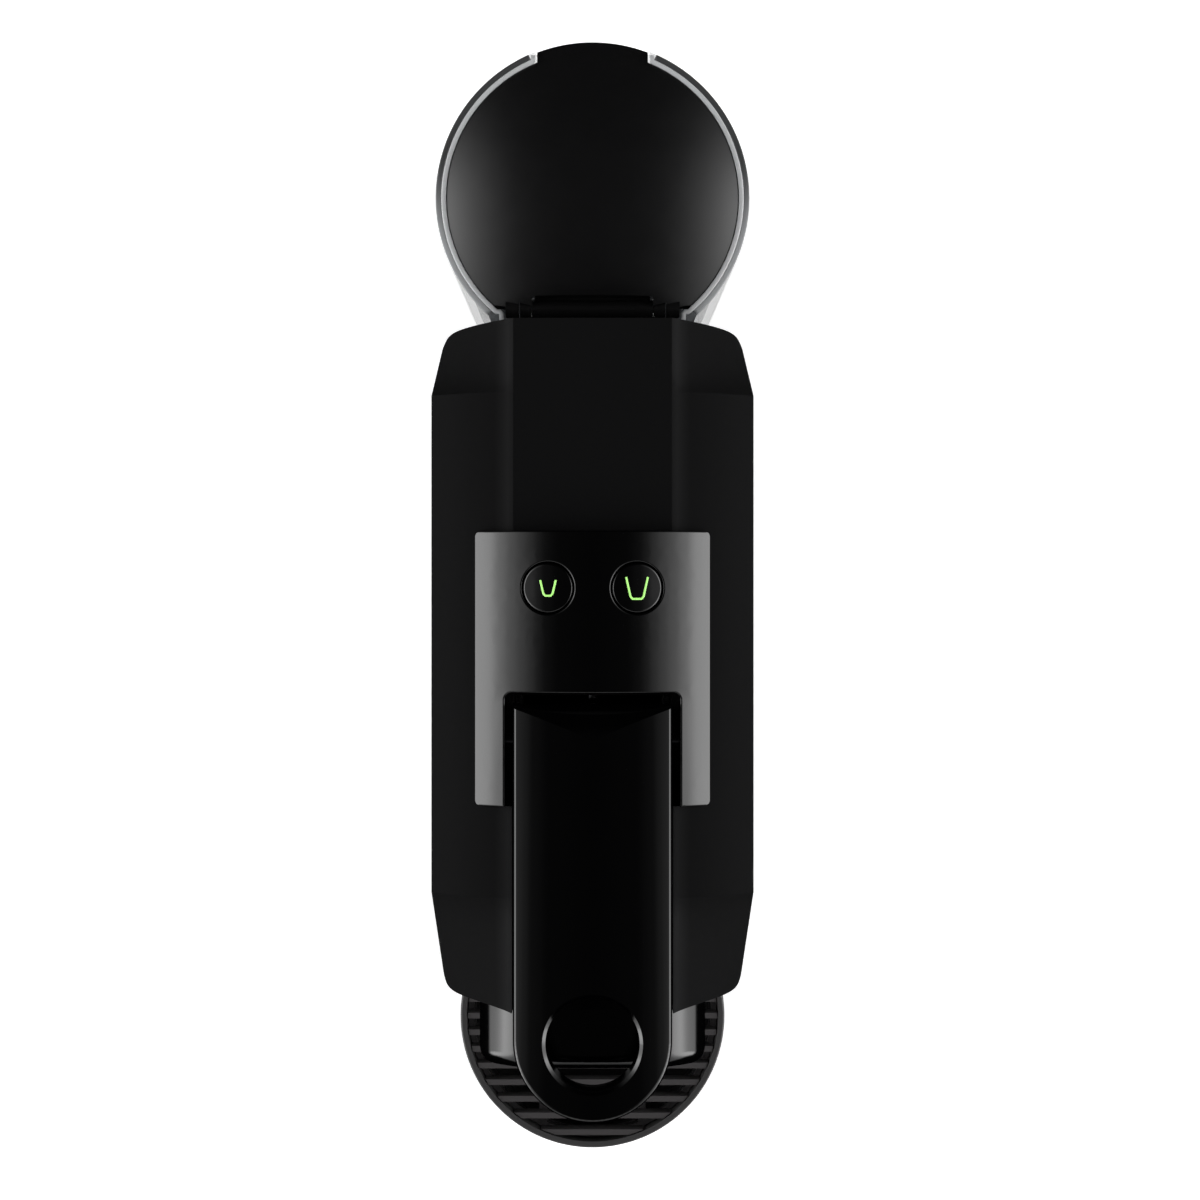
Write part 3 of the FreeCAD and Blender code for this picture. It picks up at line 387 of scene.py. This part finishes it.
SIDE_LIGHT = [(0.0, 0.02), (0.36, 0.03), (0.49, 0.08), (0.55, 0.22), (0.61, 0.55), (0.68, 1.0), (0.75, 1.7),
              (0.81, 2.9), (0.87, 5.6), (0.93, 6.4), (0.985, 2.4), (1.0, 1.2)]
END_LIGHT = [(0.6, 0.0), (0.75, 0.25), (0.86, 1.0), (0.95, 1.0), (1.0, 0.4)]


def light_ramp(tree, value, operation, stops, strength):
    """Sky brightness by one component of the direction: its size (ABSOLUTE) or opposite (MULTIPLY)."""
    ramp = tree.nodes.new("ShaderNodeValToRGB")
    ramp.color_ramp.interpolation = "EASE"
    while len(ramp.color_ramp.elements) < len(stops):
        ramp.color_ramp.elements.new(0.5)
    for element, (position, level) in zip(ramp.color_ramp.elements, stops):
        element.position = position
        element.color = (level / strength,) * 3 + (1,)
    across = tree.nodes.new("ShaderNodeMath")
    across.operation = operation
    across.inputs[1].default_value = -1.0
    tree.links.new(value, across.inputs[0])
    tree.links.new(across.outputs[0], ramp.inputs["Fac"])
    sky = tree.nodes.new("ShaderNodeBackground")
    sky.inputs["Strength"].default_value = strength
    tree.links.new(ramp.outputs["Color"], sky.inputs["Color"])
    return sky.outputs["Background"]


def make_light():
    """Two long soft lights low at the sides and a weak one in front, as one smooth sky."""
    world = bpy.data.worlds.new("studio")
    bpy.context.scene.world = world
    world.use_nodes = True
    tree = world.node_tree
    split = tree.nodes.new("ShaderNodeSeparateXYZ")
    tree.links.new(tree.nodes.new("ShaderNodeTexCoord").outputs["Generated"], split.inputs[0])
    both = tree.nodes.new("ShaderNodeAddShader")
    side = light_ramp(tree, split.outputs["X"], "ABSOLUTE", SIDE_LIGHT, SIDE_STRENGTH)
    behind = tree.nodes.new("ShaderNodeMapRange")
    behind.interpolation_type = "SMOOTHSTEP"
    behind.inputs["From Min"].default_value, behind.inputs["From Max"].default_value = 0.12, 0.72
    behind.inputs["To Min"].default_value = SIDE_STRENGTH
    behind.inputs["To Max"].default_value = SIDE_STRENGTH_BEHIND
    tree.links.new(split.outputs["Y"], behind.inputs["Value"])
    tree.links.new(behind.outputs["Result"], side.node.inputs["Strength"])
    tree.links.new(side, both.inputs[0])
    tree.links.new(light_ramp(tree, split.outputs["Y"], "MULTIPLY", END_LIGHT, END_STRENGTH), both.inputs[1])
    above = tree.nodes.new("ShaderNodeMapRange")
    above.inputs["From Min"].default_value, above.inputs["From Max"].default_value = -0.06, 0.04
    tree.links.new(split.outputs["Z"], above.inputs["Value"])
    dark = tree.nodes.new("ShaderNodeBackground")
    dark.inputs["Color"].default_value = (0, 0, 0, 1)
    mix = tree.nodes.new("ShaderNodeMixShader")
    tree.links.new(above.outputs["Result"], mix.inputs["Fac"])
    tree.links.new(dark.outputs[0], mix.inputs[1])
    tree.links.new(both.outputs[0], mix.inputs[2])
    tree.links.new(mix.outputs[0], tree.nodes["World Output"].inputs["Surface"])


def make_camera():
    data = bpy.data.cameras.new("camera")
    data.sensor_width = 36
    data.lens = 73.17
    data.shift_x, data.shift_y = 0.00625, -0.00583
    camera = bpy.data.objects.new("camera", data)
    camera.location = (0, 0.0146, 0.827)
    bpy.context.scene.collection.objects.link(camera)
    bpy.context.scene.camera = camera


make_stage()
make_light()
make_camera()
bpy.context.scene.view_settings.view_transform = "Standard"
